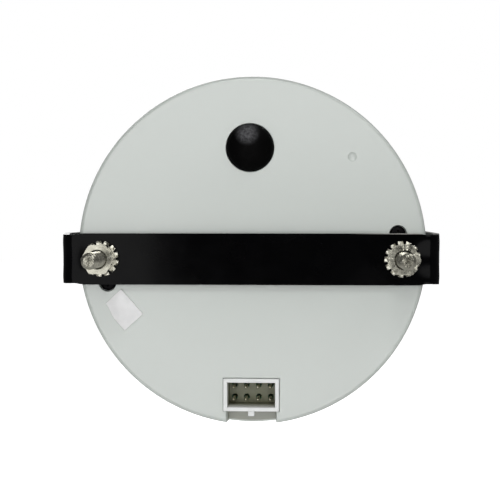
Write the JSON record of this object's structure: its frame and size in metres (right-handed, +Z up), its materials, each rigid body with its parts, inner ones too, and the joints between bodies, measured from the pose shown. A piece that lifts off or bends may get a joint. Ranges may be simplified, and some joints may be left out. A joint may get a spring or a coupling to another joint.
{
  "type": "battery monitor display gauge",
  "caption": "Round panel gauge with a white rear housing, a U-shaped clamp on threaded studs, a set button, a vent patch and a multi-pin header.",
  "frame": {"origin": "on the gauge's axis, in the plane of the panel's front surface, which is the rear face of the panel gasket", "axes": "+Z up at twelve o'clock, +Y along the gauge's axis towards the dial, so the rear faces -Y, and +X to the right as seen from behind"},
  "size_m": [0.093, 0.0822, 0.093],
  "materials": {
    "white_abs": "fine satin moulding",
    "black_plastic": "fine texture",
    "black_rubber": "smooth moulded",
    "black_paint": "semi-gloss paint on steel",
    "zinc_plate": "zinc plated",
    "black_oxide": "black oxide",
    "tin_plate": "bright tin plated brass",
    "natural_nylon": "natural moulded",
    "vent_film": "satin film",
    "clear_lens": "clear polished",
    "dial_black": "matt printed",
    "pointer_red": "satin",
    "milky_acrylic": "translucent",
    "readout_glass": "polished",
    "board_green": "solder mask",
    "chip_black": "moulded epoxy",
    "grey_plastic": "moulded",
    "can_aluminium": "drawn"
  },
  "bodies": {
    "gauge": {"rear_housing": "white_abs", "bezel_ring": "black_plastic", "panel_gasket": "black_rubber", "lens": "clear_lens", "lens_gasket": "black_rubber", "dial_plate": "dial_black", "chapter_ring": "dial_black", "light_guide": "milky_acrylic", "lcd_glass": "readout_glass", "lcd_holder": "grey_plastic", "display_board": "board_green", "dial_led_1": "milky_acrylic", "dial_led_2": "milky_acrylic", "dial_led_3": "milky_acrylic", "dial_led_4": "milky_acrylic", "stepper_motor": "grey_plastic", "inner_frame": "black_plastic", "rear_board": "board_green", "board_screw_1": "zinc_plate", "board_screw_2": "zinc_plate", "board_screw_3": "zinc_plate", "header_shroud": "natural_nylon", "header_pin_1": "tin_plate", "header_pin_2": "tin_plate", "header_pin_3": "tin_plate", "header_pin_4": "tin_plate", "header_pin_5": "tin_plate", "header_pin_6": "tin_plate", "header_pin_7": "tin_plate", "header_pin_8": "tin_plate", "tact_switch": "chip_black", "controller_chip": "chip_black", "voltage_regulator": "chip_black", "power_inductor": "grey_plastic", "filter_capacitor": "can_aluminium", "buzzer": "chip_black", "ribbon_cable": "grey_plastic", "ribbon_socket_front": "grey_plastic", "ribbon_socket_rear": "grey_plastic", "stud_left": "zinc_plate", "stud_right": "zinc_plate", "case_screw_left": "black_oxide", "case_screw_right": "black_oxide", "vent_patch": "vent_film"},
    "clamp": {"clamp_bracket": "black_paint", "tooth_washer_left": "zinc_plate", "tooth_washer_right": "zinc_plate"},
    "left_nut": {"nut_left": "zinc_plate"},
    "right_nut": {"nut_right": "zinc_plate"},
    "set_button": {"button_cap": "black_rubber"},
    "plunger": {"switch_plunger": "chip_black"},
    "needle": {"pointer": "pointer_red", "pointer_cap": "black_plastic", "pointer_shaft": "can_aluminium"}
  },
  "joints": [
    {"name": "clamp_slide", "type": "slide", "parent": "gauge", "child": "clamp", "axis": [0, -1, 0], "range_m": [0, 0.01]},
    {"name": "left_nut_spin", "type": "hinge", "parent": "clamp", "child": "left_nut", "pos_m": [-0.0368, -0.0595, -0.0019], "axis": [0, -1, 0], "range_deg": [0, 5143]},
    {"name": "right_nut_spin", "type": "hinge", "parent": "clamp", "child": "right_nut", "pos_m": [0.0368, -0.0595, -0.0019], "axis": [0, -1, 0], "range_deg": [0, 5143]},
    {"name": "button_press", "type": "slide", "parent": "gauge", "child": "set_button", "axis": [0, 1, 0], "range_m": [0, 0.0008], "stiffness_N_per_m": 2000},
    {"name": "plunger_press", "type": "slide", "parent": "gauge", "child": "plunger", "axis": [0, 1, 0], "range_m": [0, 0.00035]},
    {"name": "needle_sweep", "type": "hinge", "parent": "gauge", "child": "needle", "pos_m": [0, 0.0015, 0], "axis": [0, -1, 0], "range_deg": [0, 240]}
  ],
  "couplings": [
    {"joint": "left_nut_spin", "follows": "clamp_slide", "rad_per_m": 8976},
    {"joint": "right_nut_spin", "follows": "clamp_slide", "rad_per_m": 8976},
    {"joint": "plunger_press", "follows": "button_press", "ratio": 0.4375}
  ]
}
